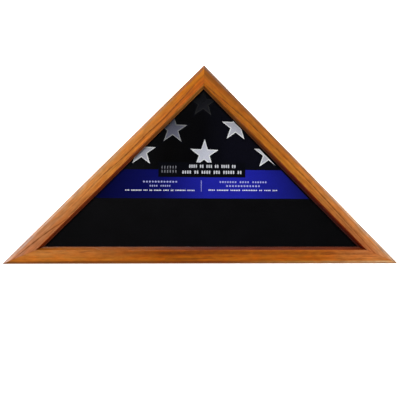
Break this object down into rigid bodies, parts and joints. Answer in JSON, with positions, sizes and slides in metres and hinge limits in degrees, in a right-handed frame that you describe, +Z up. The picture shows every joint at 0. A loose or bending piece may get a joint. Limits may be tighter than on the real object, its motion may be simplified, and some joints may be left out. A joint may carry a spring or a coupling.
{
  "type": "folded flag display case",
  "caption": "Triangular glass-fronted wooden case for a folded flag, with a lift-out back held by turn buttons, a printed card, and a hanging plate at the apex.",
  "frame": {"origin": "middle of the footprint, on the surface that the case stands on", "axes": "+X to the right along the bottom rail, -Y out of the glass front, +Z up to the apex"},
  "size_m": [0.419, 0.0808, 0.2095],
  "materials": {
    "rail_wood": "satin",
    "strip_wood": "satin",
    "clear_glass": "polished",
    "card_print": "semi-gloss print",
    "hardboard": "matte",
    "black_felt": "matte",
    "zinc_steel": "zinc plated",
    "bumper_rubber": "matte",
    "tab_leather": "satin",
    "rivet_brass": "polished"
  },
  "bodies": {
    "case": {"left_rail": "rail_wood", "right_rail": "rail_wood", "bottom_rail": "rail_wood", "glass_pane": "clear_glass", "left_glazing_strip": "strip_wood", "right_glazing_strip": "strip_wood", "bottom_glazing_strip": "strip_wood", "glazing_brads": "zinc_steel", "corner_v_nails": "zinc_steel", "hanger_plate": "zinc_steel", "hanger_screws": "zinc_steel", "turn_button_screws": "zinc_steel", "wall_bumpers": "bumper_rubber"},
    "card": {"printed_card": "card_print"},
    "back": {"back_panel": "hardboard", "felt_facing": "black_felt", "pull_tab": "tab_leather", "tab_rivet": "rivet_brass"},
    "button_left_lower": {"turn_button_left_lower": "zinc_steel"},
    "button_left_upper": {"turn_button_left_upper": "zinc_steel"},
    "button_right_lower": {"turn_button_right_lower": "zinc_steel"},
    "button_right_upper": {"turn_button_right_upper": "zinc_steel"},
    "button_bottom_left": {"turn_button_bottom_left": "zinc_steel"},
    "button_bottom_right": {"turn_button_bottom_right": "zinc_steel"}
  },
  "joints": [
    {"name": "panel_slide", "type": "slide", "parent": "case", "child": "back", "axis": [0, 1, 0], "range_m": [0, 0.12]},
    {"name": "card_slide", "type": "slide", "parent": "case", "child": "card", "axis": [0, 1, 0], "range_m": [0, 0.058]},
    {"name": "turn_left_lower", "type": "hinge", "parent": "case", "child": "button_left_lower", "pos_m": [-0.14591, 0.03675, 0.05657], "axis": [0, 1, 0], "continuous": true},
    {"name": "turn_left_upper", "type": "hinge", "parent": "case", "child": "button_left_upper", "pos_m": [-0.06318, 0.03675, 0.1393], "axis": [0, 1, 0], "continuous": true},
    {"name": "turn_right_lower", "type": "hinge", "parent": "case", "child": "button_right_lower", "pos_m": [0.14591, 0.03675, 0.05657], "axis": [0, -1, 0], "continuous": true},
    {"name": "turn_right_upper", "type": "hinge", "parent": "case", "child": "button_right_upper", "pos_m": [0.06318, 0.03675, 0.1393], "axis": [0, -1, 0], "continuous": true},
    {"name": "turn_bottom_left", "type": "hinge", "parent": "case", "child": "button_bottom_left", "pos_m": [-0.11, 0.03675, 0.005], "axis": [0, -1, 0], "continuous": true},
    {"name": "turn_bottom_right", "type": "hinge", "parent": "case", "child": "button_bottom_right", "pos_m": [0.11, 0.03675, 0.005], "axis": [0, 1, 0], "continuous": true}
  ]
}
